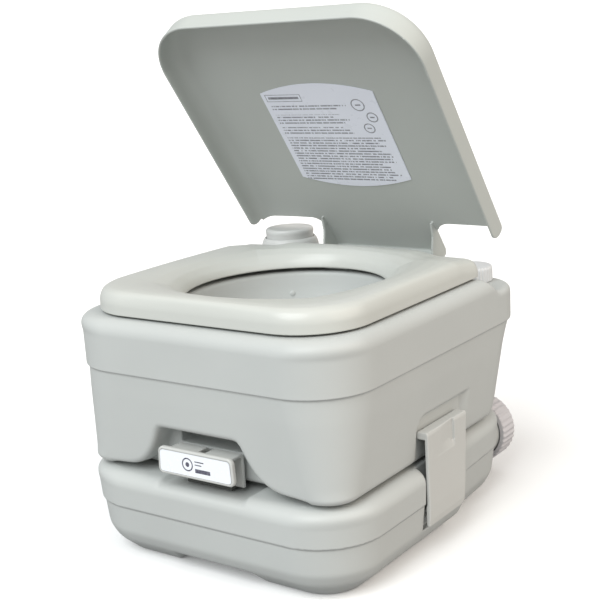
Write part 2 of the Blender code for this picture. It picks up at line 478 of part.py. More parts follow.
def seat_solid(steps=5, side=3):
    """Rings from the inner edge over the crown to the outer edge, then back underneath a wall thickness lower."""
    outline = seat_outline(steps, side)
    shape = [(0.0, 277.5), (0.0, 282.0), (0.06, 287.0), (0.18, 293.0), (0.36, 297.4), (0.56, 299.0), (0.78, 298.6), (0.9, 296.2), (0.965, 291.0), (0.995, 284.0), (1.0, 279.0), (0.995, 276.2)]
    under = [(0.95, 276.2), (0.94, 286.0), (0.86, 293.0), (0.56, 295.8), (0.34, 293.8), (0.2, 289.4), (0.09, 282.0), (0.07, 277.5)]
    rings = []
    for s, z in shape + under:
        ring = []
        for x, y in outline:
            t = math.atan2(y - SEAT["cy"], x)
            r = 1 / math.hypot(math.cos(t) / SEAT["a"], math.sin(t) / SEAT["o"])
            ix, iy = r * math.cos(t), SEAT["cy"] + r * math.sin(t)
            px, py = ix + (x - ix) * s, iy + (y - iy) * s
            lift = 1.6 * max(0.0, py / SEAT["b"]) if z > 284 else 0.0
            ring.append((px, py, z + lift))
        rings.append(ring)
    count = len(outline)
    points = [p for ring in rings for p in ring]
    faces = []
    for k in range(len(rings)):
        m = (k + 1) % len(rings)
        for i in range(count):
            j = (i + 1) % count
            faces.append((k * count + i, k * count + j, m * count + j, m * count + i))
    return points, faces


seat = make("seat", *seat_solid(), (SEAT_WHITE, 0.35), origin=(0, HINGE_Y, HINGE_Z))
boolean(seat, make("seat_tongue", *prism([(-54, 112), (54, 112), (54, 152), (-54, 152)], 280.4, 284.0), helper=True), "UNION")
for sign in (1, -1):
    arc = [(HINGE_Y + 7.2 * math.cos(math.radians(a)), HINGE_Z + 7.2 * math.sin(math.radians(a))) for a in range(-180, 91, 30)]
    arm = [(140, 284), (140, 280.4), (150, 279.5), (HINGE_Y - 7.2, 275)] + arc[0:] + [(158, 284)]
    boolean(seat, make(f"seat_arm_{sign}", *prism(arm, min(sign * 44, sign * 54), max(sign * 44, sign * 54), "X"), helper=True), "UNION")
boolean(seat, make("seat_hinge_cut", *prism([(HINGE_Y + 3.4 * math.cos(math.radians(a)), HINGE_Z + 3.4 * math.sin(math.radians(a))) for a in range(0, 360, 30)], -90, 90, "X"), helper=True))
for i, (x, y) in enumerate(((142, -120), (-142, -120), (146, 70), (-146, 70))):
    boolean(seat, make(f"buffer_seat_{i}", *turned([(0, 275.4), (7, 275.4), (7, 295), (0, 295)], 12, (x, y)), helper=True), "UNION")
    make(f"seat_buffer_{i + 1}", *turned([(0, 270.9), (5.4, 270.9), (6.2, 271.8), (6.2, 275.1), (0, 275.1)], 16, (x, y)), (RUBBER, 0.8))

# ---- lid, drawn shut about its hinge line, then opened ----


def lid_outline(w, back, front, r, steps=8):
    """Half-turned front corners; y runs from the hinge line towards the front as negative."""
    right = [(w, back)]
    for k in range(steps + 1):
        a = math.radians(-90 * k / steps)
        right.append((w - r + r * math.cos(a), front + r + r * math.sin(a)))
    return right + [(-x, y) for x, y in reversed(right)]


lid_top = [(0.0, 3.5), (0.0, 23.0), (0.9, 27.8), (3.4, 31.2), (7.4, 33.2), (14.0, 34.2), (60.0, LID_TOP)]
outside, inside = [], []
for inset, v in lid_top:
    ring = lid_outline(LID_W - inset, -30.0, -LID_REACH + inset, max(66 - inset, 20))
    outside.append([(x, y, v) for x, y in ring])
for inset, v in [(3.0, 2.0), (3.0, 22.0), (4.6, 27.0), (8.6, 30.2), (14.4, 31.2), (60.0, LID_TOP - LID_WALL)]:
    ring = lid_outline(LID_W - inset, -10.0, -LID_REACH + inset, max(66 - inset, 20))
    inside.append([(x, y, v) for x, y in ring])


def lid_part(name, points, faces, colour=None, helper=False):
    """Points about the hinge line in its shut position; the object is turned open about it."""
    obj = make(name, points, faces, colour, helper=helper)
    obj.location = (0, HINGE_Y * MM, HINGE_Z * MM)
    obj.rotation_euler = (-math.radians(LID_OPEN), 0, 0)
    return obj


lid = lid_part("lid", *loft(outside), (SHELL, 0.42))
boolean(lid, lid_part("lid_hollow", *loft(inside), helper=True))
boolean(lid, lid_part("lid_tongue", *prism([(9.0, 14.0), (9.0, 31.0), (5.5, 34.6), (-60, 34.6), (-60, 31.7), (4.6, 31.7), (6.0, 30.2), (6.0, 14.0)], -TONGUE, TONGUE, "X"), helper=True), "UNION")
notch_r = 15.0
for sign in (1, -1):
    shape = [(TONGUE, 40), (170.8, 40), (170.8, -NOTCH), (TONGUE + notch_r, -NOTCH)]
    for k in range(1, 5):
        a = math.radians(-90 - 90 * k / 5)
        shape.append((TONGUE + notch_r + notch_r * math.cos(a), -NOTCH + notch_r + notch_r * math.sin(a)))
    shape.append((TONGUE, -NOTCH + notch_r))
    boolean(lid, lid_part(f"lid_notch_{sign}", *prism([(sign * x, y) for x, y in shape], -20, 60), helper=True))
    ear = [(170, 40), (190, 40), (190, -36.5), (170, -36.5)]
    boolean(lid, lid_part(f"lid_ear_{sign}", *prism([(sign * x, y) for x, y in ear], -20, 60), helper=True))
    wall = [(9.0, 13.0), (9.0, 32.5), (-NOTCH - 4, 32.5), (-NOTCH - 4, 28.0), (-30, 22.0), (-9.5, 3.0), (-7.6, -3.2), (-3.5, -7.2), (3.2, -7.2), (7.4, -3.0), (8.2, 3.0)]
    boolean(lid, lid_part(f"lid_wall_{sign}", *prism(wall, min(sign * 77, sign * TONGUE), max(sign * 77, sign * TONGUE), "X"), helper=True), "UNION")
    knuckle = [(7.2 * math.cos(math.radians(a)), 7.2 * math.sin(math.radians(a))) for a in range(0, 360, 30)]
    boolean(lid, lid_part(f"lid_knuckle_{sign}", *prism(knuckle, min(sign * 60, sign * 79), max(sign * 60, sign * 79), "X"), helper=True), "UNION")
    boolean(lid, lid_part(f"lid_hole_{sign}", *prism([(3.4 * math.cos(math.radians(a)), 3.4 * math.sin(math.radians(a))) for a in range(0, 360, 30)], min(sign * 40, sign * 76.8), max(sign * 40, sign * 76.8), "X"), helper=True))

# instruction label's blank, arched at both ends, on the lid's inner face
label = []
for k in range(13):
    x = 77 - 154 * k / 12
    label.append((x, -101 - 13 * (1 - (1 - (x / 77) ** 2)) + 0.0))
lower_edge = [(x, y) for x, y in label]
upper_edge = [(-77 + 154 * k / 12, -245 - 13 * (1 - (-1 + 2 * k / 12) ** 2)) for k in range(13)]
lid_part("lid_label", *prism(lower_edge + upper_edge, 31.6, 32.0), (WHITE, 0.35))

bpy.context.view_layer.update()
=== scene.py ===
"""Looks of the two-tank portable toilet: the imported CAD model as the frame, with finer visual pieces on its bodies."""

import math

import bpy
import numpy as np
from mathutils import Matrix, Vector


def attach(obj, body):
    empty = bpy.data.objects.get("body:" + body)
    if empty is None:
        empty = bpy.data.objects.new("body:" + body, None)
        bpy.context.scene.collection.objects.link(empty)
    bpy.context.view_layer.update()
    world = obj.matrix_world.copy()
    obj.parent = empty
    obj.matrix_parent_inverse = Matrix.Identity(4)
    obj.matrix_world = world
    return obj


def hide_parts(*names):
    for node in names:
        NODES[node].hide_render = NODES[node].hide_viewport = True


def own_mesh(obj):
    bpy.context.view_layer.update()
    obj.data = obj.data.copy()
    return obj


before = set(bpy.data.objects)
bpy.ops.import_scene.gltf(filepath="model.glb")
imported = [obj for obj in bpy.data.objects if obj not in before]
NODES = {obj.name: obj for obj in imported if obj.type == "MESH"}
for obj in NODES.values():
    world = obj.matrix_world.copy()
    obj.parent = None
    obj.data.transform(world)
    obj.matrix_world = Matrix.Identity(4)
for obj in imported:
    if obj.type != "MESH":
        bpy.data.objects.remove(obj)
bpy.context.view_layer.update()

MM = 0.001
FINE = 1.0

# ---------------------------------------------------------------- distance functions, in millimetres


def smax(a, b, k):
    h = np.clip(0.5 + 0.5 * (a - b) / k, 0, 1)
    return b + (a - b) * h + k * h * (1 - h)


def smin(a, b, k):
    return -smax(-a, -b, k)


def rounded(px, py, hx, hy, r):
    """Rounded rectangle about the origin."""
    qx, qy = np.abs(px) - hx + r, np.abs(py) - hy + r
    return np.sqrt(np.maximum(qx, 0) ** 2 + np.maximum(qy, 0) ** 2) + np.minimum(np.maximum(qx, qy), 0) - r


def slab(p, low, high):
    return np.maximum(low - p, p - high)


def cuboid(x, y, z, low, high, r=0.0):
    c = [(a + b) / 2 for a, b in zip(low, high)]
    h = [(b - a) / 2 - r for a, b in zip(low, high)]
    q = [np.abs(p - m) - s for p, m, s in zip((x, y, z), c, h)]
    out = np.sqrt(sum(np.maximum(v, 0) ** 2 for v in q))
    return out + np.minimum(np.maximum(np.maximum(q[0], q[1]), q[2]), 0) - r


def polygon(px, py, points):
    """Distance to a closed polygon, negative inside."""
    best, inside = None, None
    for (ax, ay), (bx, by) in zip(points, points[1:] + points[:1]):
        ex, ey = bx - ax, by - ay
        wx, wy = px - ax, py - ay
        t = np.clip((wx * ex + wy * ey) / (ex * ex + ey * ey), 0, 1)
        d = (wx - ex * t) ** 2 + (wy - ey * t) ** 2
        best = d if best is None else np.minimum(best, d)
        crossing = ((ay > py) != (by > py)) & (px < (bx - ax) * (py - ay) / (by - ay + 1e-12) + ax)
        inside = crossing if inside is None else inside ^ crossing
    return np.where(inside, -1, 1) * np.sqrt(best)


def table(points, soft, low, high):
    """A smooth curve through (z, value) points: straight lines blurred over plus or minus soft millimetres."""
    z = np.arange(low - 12, high + 12, 0.1)
    v = np.interp(z, [p[0] for p in points], [p[1] for p in points])
    n = max(1, int(round(soft / 0.1)))
    for _ in range(2):
        pad = np.concatenate([np.full(n, v[0]), v, np.full(n, v[-1])])
        total = np.concatenate([[0], np.cumsum(pad)])
        v = (total[2 * n + 1 :] - total[: -2 * n - 1]) / (2 * n + 1)
    return z, v


def look(tab, z):
    return np.interp(z, *tab)


def arc_inset(z, start, end, reach):
    """Inset of a quarter ellipse that starts upright at start and has gone in by reach at end."""
    t = np.clip((z - start) / (end - start), 0, 1)
    return reach * (1 - np.sqrt(np.maximum(1 - t * t, 0)))


def nets(f, low, high, pitch):
    """A closed quad mesh of the surface where f is zero, its points moved exactly onto that surface."""
    pitch = np.array([pitch] * 3 if np.isscalar(pitch) else pitch, float) * FINE
    low = np.array(low, float) - 1.5 * pitch
    count = np.ceil((np.array(high, float) + 1.5 * pitch - low) / pitch).astype(int) + 1
    axes = [low[i] + pitch[i] * np.arange(count[i]) for i in range(3)]
    x, y, z = axes[0][:, None, None], axes[1][None, :, None], axes[2][None, None, :]
    v = np.broadcast_to(f(x, y, z), count).astype(np.float32)
    s = v < 0
    nx, ny, nz = s.shape
    corner = [(i, j, k) for i in (0, 1) for j in (0, 1) for k in (0, 1)]
    total = np.zeros((nx - 1, ny - 1, nz - 1), np.uint8)
    for i, j, k in corner:
        total += s[i : nx - 1 + i, j : ny - 1 + j, k : nz - 1 + k]
    active = (total > 0) & (total < 8)
    cells = np.argwhere(active)
    index = np.full(active.shape, -1, np.int64)
    index[active] = np.arange(len(cells))
    values = {c: v[cells[:, 0] + c[0], cells[:, 1] + c[1], cells[:, 2] + c[2]].astype(float) for c in corner}
    acc, weight = np.zeros((len(cells), 3)), np.zeros(len(cells))
    for a in corner:
        for axis in range(3):
            if a[axis]:
                continue
            b = tuple(1 if n == axis else a[n] for n in range(3))
            va, vb = values[a], values[b]
            hit = (va < 0) != (vb < 0)
            t = np.where(hit, va / np.where(hit, va - vb, 1), 0)
            for n in range(3):
                acc[:, n] += hit * (a[n] + (t if n == axis else 0))
            weight += hit
    points = low + (cells + acc / weight[:, None]) * pitch
    faces = []
    for axis in range(3):
        p, q = [n for n in range(3) if n != axis]
        a = [slice(None)] * 3
        b = [slice(None)] * 3
        a[axis], b[axis] = slice(0, -1), slice(1, None)
        sa, sb = s[tuple(a)], s[tuple(b)]
        where = np.argwhere(sa != sb)
        where = where[(where[:, p] > 0) & (where[:, q] > 0) & (where[:, p] < s.shape[p] - 1) & (where[:, q] < s.shape[q] - 1)]
        inward = sa[where[:, 0], where[:, 1], where[:, 2]]
        quad = []
        for dp, dq in ((1, 1), (0, 1), (0, 0), (1, 0)):
            c = where.copy()
            c[:, p] -= dp
            c[:, q] -= dq
            quad.append(index[c[:, 0], c[:, 1], c[:, 2]])
        quad = np.stack(quad, 1)
        turn = inward if axis != 1 else ~inward
        quad[~turn] = quad[~turn][:, ::-1]
        faces.append(quad)
    faces = np.concatenate(faces)

    def slope(pts, h=0.15):
        g = []
        for n in range(3):
            d = np.zeros(3)
            d[n] = h
            g.append((f(*(pts + d).T) - f(*(pts - d).T)) / (2 * h))
        return np.stack(g, 1)

    for _ in range(3):
        g = slope(points)
        value = f(*points.T)
        move = -g * (value / np.maximum((g**2).sum(1), 1e-6))[:, None]
        size = np.linalg.norm(move, axis=1)
        move *= np.minimum(1, 0.45 * pitch.min() / np.maximum(size, 1e-9))[:, None]
        points = points + move
    g = slope(points)
    normals = g / np.maximum(np.linalg.norm(g, axis=1), 1e-9)[:, None]
    return points, faces, normals


def mesh_object(name, points, faces, normals=None, matrix=None):
    mesh = bpy.data.meshes.new(name)
    points = np.asarray(points, float) * MM
    mesh.vertices.add(len(points))
    mesh.vertices.foreach_set("co", points.ravel())
    if isinstance(faces, np.ndarray):
        mesh.loops.add(faces.size)
        mesh.loops.foreach_set("vertex_index", faces.ravel().astype(np.int32))
        mesh.polygons.add(len(faces))
        mesh.polygons.foreach_set("loop_start", np.arange(len(faces), dtype=np.int32) * faces.shape[1])
        mesh.update(calc_edges=True)
    else:
        mesh.clear_geometry()
        mesh.from_pydata([tuple(p) for p in points], [], faces)
    mesh.validate()
    mesh.shade_smooth()
    if normals is not None:
        mesh.normals_split_custom_set_from_vertices([tuple(n) for n in normals])
    obj = bpy.data.objects.new(name, mesh)
    bpy.context.scene.collection.objects.link(obj)
    if matrix is not None:
        obj.matrix_world = matrix
    return obj


def turned_into_place(obj):
    """Writes the object's own matrix into its mesh, with the normals turned along."""
    matrix = obj.matrix_world.copy()
    normals = [tuple(matrix.to_3x3() @ n.vector) for n in obj.data.corner_normals]
    obj.data.transform(matrix)
    obj.data.normals_split_custom_set(normals)
    obj.matrix_world = Matrix.Identity(4)
    return obj


def sdf_object(name, f, low, high, pitch, matrix=None):
    points, faces, normals = nets(f, low, high, pitch)
    return mesh_object(name, points, faces, normals, matrix)


def turned_object(name, profile, count, centre, axis="Z", shape=None, sharp=32, matrix=None):
    """A closed (radius, height) profile spun about Z, or about Y at x, z = centre. shape(r, h, angle) can change the radius."""
    points, faces, rings = [], [], []
    for r, h in profile:
        if r < 1e-6:
            rings.append([len(points)])
            points.append((0.0, 0.0, h))
        else:
            rings.append(list(range(len(points), len(points) + count)))
            for i in range(count):
                a = 2 * math.pi * i / count
                rr = shape(r, h, a) if shape else r
                points.append((rr * math.cos(a), rr * math.sin(a), h))
    loop = profile[0][0] > 1e-6 or profile[-1][0] > 1e-6
    for low, high in list(zip(rings, rings[1:])) + ([(rings[-1], rings[0])] if loop else []):
        for i in range(count):
            j = (i + 1) % count
            if len(low) == 1 and len(high) == 1:
                continue
            if len(low) == 1:
                faces.append((low[0], high[j], high[i]))
            elif len(high) == 1:
                faces.append((low[i], low[j], high[0]))
            else:
                faces.append((low[i], low[j], high[j], high[i]))
    if axis == "Z":
        points = [(x + centre[0], y + centre[1], z) for x, y, z in points]
    else:
        points = [(x + centre[0], z, -y + centre[1]) for x, y, z in points]
    obj = mesh_object(name, points, faces, matrix=matrix)
    import bmesh

    work = bmesh.new()
    work.from_mesh(obj.data)
    bmesh.ops.recalc_face_normals(work, faces=work.faces)
    work.to_mesh(obj.data)
    work.free()
    obj.data.shade_smooth()
    obj.data.set_sharp_from_angle(angle=math.radians(sharp))
    return obj


def fillet(points, radii, steps=5):
    """A profile with its corners rounded: radii gives one radius for each inner point."""
    out = [points[0]]
    for k in range(1, len(points) - 1):
        a, b, c = Vector(points[k - 1]), Vector(points[k]), Vector(points[k + 1])
        r = radii[k - 1] if not np.isscalar(radii) else radii
        u, w = (a - b), (c - b)
        r = min(r, u.length * 0.49, w.length * 0.49)
        if r < 0.05:
            out.append(tuple(b))
            continue
        one, two = b + u.normalized() * r, b + w.normalized() * r
        for n in range(steps + 1):
            t = n / steps
            out.append(tuple((1 - t) ** 2 * one + 2 * t * (1 - t) * b + t * t * two))
    out.append(points[-1])
    return out


# ---------------------------------------------------------------- dimensions, as in the CAD
HINGE_Y, HINGE_Z, LID_OPEN = 162.8, 269.8, 54.6
BOWL_Y, THROAT = -20.0, 42.0
PUMP, FILL, SPOUT = (-134.5, 165.5), (124.0, 170.0), (112.0, 58.0)
LATCH_Y, LATCH_Z, LATCH_PIVOT = (-48.0, 38.0), (36.0, 141.5), (174.5, 47.0)

# ---------------------------------------------------------------- lower tank
LOW_DRAFT = table([(0, 34), (18, 13.5), (31, 7.0), (60.6, 3.6), (110, 1.2)], 3.2, 0, 102)
LOW_STEP = table([(61.2, 0.0), (63.0, -1.7), (110, -1.7)], 0.35, 0, 102)
LOW_RF = table([(0, 38), (18, 60), (31, 66), (62, 70.5), (87, 70.5), (102, 53)], 3, 0, 102)
LOW_RR = table([(0, 38), (18, 54), (31, 58), (62, 60), (87, 60), (102, 44)], 3, 0, 102)


def latch_lean(z):
    return 8.0 * np.clip((141.5 - z) / 105.5, 0, 1)


def low_inset(z):
    return look(LOW_DRAFT, z) + look(LOW_STEP, z) + arc_inset(z, 85.0, 102.0, 17.5)


def tank_section(x, y, z, inset, rear, rf, rr, w=182.5, f=-207.5):
    ww, ff, bb = w - inset, f + inset, rear - inset
    py = y - (ff + bb) / 2
    return rounded(x, py, ww, (bb - ff) / 2, np.where(py < 0, rf, rr))


def lower_tank(x, y, z):
    z1 = np.clip(z, 0, 101.9)
    i = low_inset(z1)
    tilt = np.minimum(np.sqrt(1 + ((low_inset(np.clip(z1 + 0.2, 0, 101.9)) - i) / 0.2) ** 2), 3.0)
    ax = np.abs(x)
    side = np.interp(y, [39.0, 40.6, 43.0, 45.6, 47.0, 135.0, 200.0], [0, 0.6, 4.0, 7.4, 8.1, 13.6, 15.0])
    d = tank_section(ax + side, y, z1, i, 190.0, look(LOW_RF, z1), look(LOW_RR, z1)) / tilt
    d = smax(d, z - 102.0, 1.2)
    d = smax(d, -z, 3.5)
    scoop = smax(smax(ax - 56.5, y + 149.0, 5.0), 97.4 - z, 5.0)
    d = smax(d, -scoop, 6.0)
    # pads that the upper tank rests on
    for cy in (-132.0, 96.0):
        pad = smax(rounded(ax - 108.0, y - cy, 18.0, 10.0, 6.0), slab(z, 99.0, 105.2), 1.0)
        d = smin(d, pad, 2.0)
    # spout
    r = np.sqrt((x - SPOUT[0]) ** 2 + (z - SPOUT[1]) ** 2)
    d = smin(d, smax(r - 33.0, slab(y, 150.0, 219.0), 1.0), 5.0)
    d = smax(d, -np.maximum(r - 28.5, 150.0 - y), 1.0)
    # pocket of the slide valve, inlet
    d = smax(d, -cuboid(x, y, z, (-66, -149.7, 90), (66, 52, 130)), 0.8)
    d = smax(d, -np.maximum(np.sqrt(x**2 + (y - BOWL_Y) ** 2) - THROAT, slab(z, 66, 96)), 0.8)
    # notch under the front edge
    notch = smax(polygon(x, z, [(-66, -20), (66, -20), (50, 14.5), (-50, 14.5)]), y + 156.0 + 0.0 * z, 3.0)
    d = smax(d, -notch, 5.0)
    # pockets and lugs of the latches
    pocket = np.maximum(np.maximum(168.0 - ax, slab(y, LATCH_Y[0] - 1, LATCH_Y[1] + 1 - latch_lean(z))), LATCH_Z[0] - 4.5 - z)
    d = smax(d, -pocket, 1.8)
    lug = np.maximum(np.where(ax > LATCH_PIVOT[0], np.sqrt((ax - LATCH_PIVOT[0]) ** 2 + (z - LATCH_PIVOT[1]) ** 2), np.abs(z - LATCH_PIVOT[1])) - 4.5, slab(y, LATCH_Y[0] + 22, LATCH_Y[1] - 22))
    lug = np.maximum(lug, 160.0 - ax)
    return smin(d, lug, 1.0)


# ---------------------------------------------------------------- upper tank
UP_DRAFT = table([(100, 13.6), (121, 10.6), (150, 7.6), (190, 3.9), (214.6, 2.3), (280, 1.9)], 2.5, 105, 271)
UP_STEP = table([(214.8, 0.0), (216.8, -2.1), (280, -2.1)], 0.35, 105, 271)
UP_REAR = table([(105, 29), (112.5, 25.5), (121, 22.5), (150, 18.5), (190, 12), (205, 6), (214.6, 1), (217, 0)], 3, 105, 271)
UP_RF = table([(105.5, 26), (107.3, 30), (112.5, 34), (121, 40), (150, 50), (190, 62), (205, 66), (217, 69), (256, 69), (270.5, 55)], 3, 105, 271)
UP_RR = table([(105.5, 50), (121, 54), (150, 56), (217, 60), (256, 60), (270.5, 46)], 3, 105, 271)
BOWL_A = table([(80, 42), (112, 42), (124, 45), (146, 60), (180, 82), (222, 100), (252, 109), (280, 113)], 5, 90, 290)
BOWL_B = table([(80, 42), (112, 42), (124, 46), (146, 63), (180, 87), (222, 106), (252, 115), (280, 119)], 5, 90, 290)
GRIP = [(132, 88), (130, 107.5), (118, 109.6), (107, 110.6), (98, 112.0), (90, 114.6), (82.5, 118.4), (76, 123.4), (70.5, 129.0), (66, 135), (62, 142), (58, 150), (55, 156), (51.5, 160), (46, 161)]


def up_inset(z):
    return look(UP_DRAFT, z) + look(UP_STEP, z) + arc_inset(z, 256.3, 272.8, 15.2) + arc_inset(-z, -113.5, -105.5, 8.5)


def upper_tank(x, y, z):
    z1 = np.clip(z, 105.6, 272.7)
    i = up_inset(z1)
    tilt = np.minimum(np.sqrt(1 + ((up_inset(np.clip(z1 + 0.2, 105.6, 272.7)) - i) / 0.2) ** 2), 3.0)
    ax = np.abs(x)
    d = tank_section(ax, y, z1, i, 203.0 - look(UP_REAR, z1), look(UP_RF, z1), look(UP_RR, z1)) / tilt
    d = smax(d, z - 272.8, 1.0)
    d = smax(d, 105.5 - z, 1.5)
    # ledge behind the seat
    ledge = smax(255.0 - z, -((y - 121.5) * 0.718 + (z - 262.75) * 0.695), 7.0)
    d = smax(d, -ledge, 8.0)
    lug = np.minimum(np.sqrt((y - HINGE_Y) ** 2 + (z - HINGE_Z) ** 2) - 7.8, np.maximum(np.abs(y - HINGE_Y) - 7.8, slab(z, 250.0, HINGE_Z)))
    lug = smax(lug, np.abs(ax - 34.0) - 8.0, 1.0)
    d = smin(d, lug, 2.5)
    rf = np.sqrt((x - FILL[0]) ** 2 + (y - FILL[1]) ** 2)
    d = smin(d, smax(rf - 20.5, slab(z, 240.0, 267.0), 1.0), 2.0)
    # recess for the grip
    grip = polygon(x, z, GRIP + [(-a, b) for a, b in reversed(GRIP)])
    floor = -170.0 + np.clip((ax - 62.0) * 0.10, 0, 6)
    lean = np.clip((y + 200.0) / 30.0, 0, 1) * 3.0
    grip = smax(grip + lean, y - floor, 6.0)
    d = smax(d, -grip, 6.5)
    # slot behind the handle's hood
    d = smax(d, -cuboid(ax, y, z, (-1, -190, 137.0), (47, -146, 149.5), 2.0), 1.5)
    # recess for the latch, its rear end running out in a ramp
    arch = polygon(y, z, [(-51, 90), (75, 90), (75, 148), (72, 154), (66, 157), (-37, 157), (-45, 153.5), (-51, 145)])
    depth = 169.0 + np.clip(y - 50.0, 0, 40) * 0.62
    lean = np.clip((178.0 - ax) / 9.0, 0, 1) * 1.5
    side = smax(arch + lean, depth - ax, 3.0)
    d = smax(d, -side, 4.0)
    # bowl
    a, b = look(BOWL_A, z), look(BOWL_B, z)
    cy = np.interp(z, [112, 146, 180, 222, 252], [-20, -21, -23, -25, -26])
    q = np.sqrt((x / a) ** 2 + ((y - cy) / b) ** 2)
    bowl = (q - 1.0) * a * 0.86
    d = smax(d, -bowl, 5.0)
    rt = np.sqrt(x**2 + (y - BOWL_Y) ** 2)
    d = smax(d, -np.maximum(np.abs(rt - 47.5) - 2.9, z - 109.4), 0.8)
    # holes
    d = smax(d, -np.maximum(rf - 17.0, 240.0 - z), 0.8)
    rp = np.sqrt((x - PUMP[0]) ** 2 + (y - PUMP[1]) ** 2)
    d = smax(d, -np.maximum(rp - 17.2, 240.0 - z), 0.8)
    pin = np.maximum(np.sqrt((y - HINGE_Y) ** 2 + (z - HINGE_Z) ** 2) - 3.4, ax - 90.0)
    return smax(d, -pin, 0.6)


# ---------------------------------------------------------------- seat
SEAT_TOP = table([(v * 100, z) for v, z in ((-0.2, 277.0), (0.0, 281.5), (0.06, 286.5), (0.18, 293.4), (0.36, 298.6), (0.56, 300.7), (0.76, 300.9), (0.88, 299.9), (0.95, 297.0), (1.0, 291.0), (1.1, 272.0))], 2.0, -20, 120)


def seat_fields(x, y):
    outer = rounded(x, y - (-192.5 + 119.5) / 2, 168.0, (119.5 + 192.5) / 2, np.where(y < -40, 70.0, 18.0))
    q = np.sqrt((x / 110.5) ** 2 + ((y + 29.5) / 115.5) ** 2)
    inner = (q - 1.0) * 113.0
    s = inner / np.maximum(inner - outer, 1.0)
    return outer, inner, s


def seat(x, y, z):
    outer, inner, s = seat_fields(x, y)
    top = look(SEAT_TOP, np.clip(s, -0.2, 1.15) * 100) + 0.3 * np.clip(y / 119.5, 0, 1)
    # the rear corners fall away, to clear the pump's top when the seat is up
    top = top - 4.5 * np.clip((y - 66.0) / 34.0, 0, 1) * np.clip((np.abs(x) - 88.0) / 26.0, 0, 1)
    d = smax((z - top) * 0.8, outer, 5.0)
    d = smax(d, -inner, 4.0)
    d = smax(d, 275.0 + 2.8 * np.clip(1 - inner / 18.0, 0, 1) - z, 1.6)
    hollow = smax(smax((z - top) * 0.8 + 4.0, outer + 6.0, 5.0), 6.5 - inner, 4.0)
    d = smax(d, -hollow, 1.5)
    ax = np.abs(x)
    d = smin(d, cuboid(ax, y, z, (-1, 112, 280.4), (54, 152, 284.2), 0.8), 2.0)
    arm = np.minimum(np.sqrt((y - HINGE_Y) ** 2 + (z - HINGE_Z) ** 2) - 7.2, polygon(y, z, [(140, 280.6), (150, 279.5), (155.6, 272), (166, 274), (158, 284), (140, 284)]))
    d = smin(d, smax(arm, np.abs(ax - 49.0) - 5.0, 0.8), 1.5)
    d = smax(d, -np.maximum(np.sqrt((y - HINGE_Y) ** 2 + (z - HINGE_Z) ** 2) - 3.4, ax - 90.0), 0.5)
    for cx, cy in ((142, -120), (146, 70)):
        boss = smax(np.sqrt((ax - cx) ** 2 + (y - cy) ** 2) - 7.0, slab(z, 275.4, 292.0), 0.8)
        d = smin(d, boss, 1.5)
    return d


# ---------------------------------------------------------------- lid, about its hinge line and shut; u runs from the hinge to the front
def lid(x, y, z):
    ax, u, v = np.abs(x), -y, z
    crown = 35.5 - 1.3 * np.clip(1 - np.minimum(174.3 - ax, 362.8 - u) / 60.0, 0, 1) ** 2
    plan = rounded(ax, u - 150.0, 174.3, 212.8, np.where(u > 150, 66.0, 1.0))
    d = smax(plan, v - crown, 13.0)
    shell = smax(d, -smax(plan + 3.0, v - crown + 3.0, 17.0), 1.2)
    shell = smax(shell, 3.5 - v, 1.6)
    shell = smax(shell, 30.0 - u, 1.0)
    # notches, ears
    notch = np.maximum(rounded(ax - 140.0, u - 1.0, 60.0, 40.0, 20.0), ax - 170.9)
    shell = smax(shell, -notch, 1.6)
    ear = rounded(u - 545.0, v - 19.2, 500.0, 16.3, 14.0)
    shell = smax(shell, -np.maximum(171.0 - ax, -ear), 1.0)
    # tongue with its curled edge
    plate = polygon(y, v, [(9.0, 14.0), (9.0, 31.0), (8.2, 33.4), (5.5, 35.2), (3.5, 35.5), (-41, 35.5), (-41, 32.5), (3.2, 32.5), (5.2, 31.6), (6.0, 30.0), (6.0, 14.0)])
    tongue = smax(plate, ax - 80.0, 1.2)
    shell = np.minimum(np.maximum(shell, np.where(ax < 80.0, 40.0 - u, -99.0)), tongue)
    wall = polygon(y, v, [(9.0, 13.0), (9.0, 31.0), (7.0, 32.5), (-45, 32.5), (-45, 28.0), (-30, 22.0), (-9.5, 3.0), (-7.6, -3.2), (-3.5, -7.2), (3.2, -7.2), (7.4, -3.0), (8.2, 3.0)])
    shell = smin(shell, smax(wall, np.abs(ax - 78.5) - 1.5, 0.6), 1.2)
    r = np.sqrt(y**2 + v**2)
    shell = smin(shell, smax(r - 7.2, np.abs(ax - 69.5) - 9.5, 0.8), 0.8)
    return smax(shell, -np.maximum(r - 3.4, slab(ax, 40.0, 76.8)), 0.5)


# ---------------------------------------------------------------- valve handle
def valve_handle(x, y, z):
    ax = np.abs(x)
    spread = 1 + 0.03 * (143.5 - z) / 30
    plate = rounded(ax / spread, z - 128.5, 49.5, 15.0, 6.5)
    d = smax(plate, slab(y, -206.0, -200.0), 2.2)
    d = smax(d, -np.maximum(rounded(ax / spread, z - 128.5, 46.8, 12.3, 4.2), y + 205.3), 0.4)
    hood = polygon(y, z, [(-201, 139.8), (-201, 136.6), (-182, 136.6), (-179.4, 134), (-179.4, 102.8), (-176, 102.8), (-176, 137), (-179, 139.8)])
    d = smin(d, smax(hood, ax - 42.0, 1.0), 1.5)
    d = smin(d, cuboid(ax, y, z, (-1, -184, 102.8), (29, -176.5, 106.2), 0.5), 1.0)
    web = polygon(y, z, [(-201, 120), (-201, 139), (-177, 139), (-177, 103.2), (-184, 103.2)])
    d = smin(d, smax(web, np.abs(ax - 27.5) - 1.5, 0.6), 1.0)
    return smax(d, -cuboid(ax, y, z, (-4.5, -199.7, 108), (4.5, -170, 150)), 0.6)


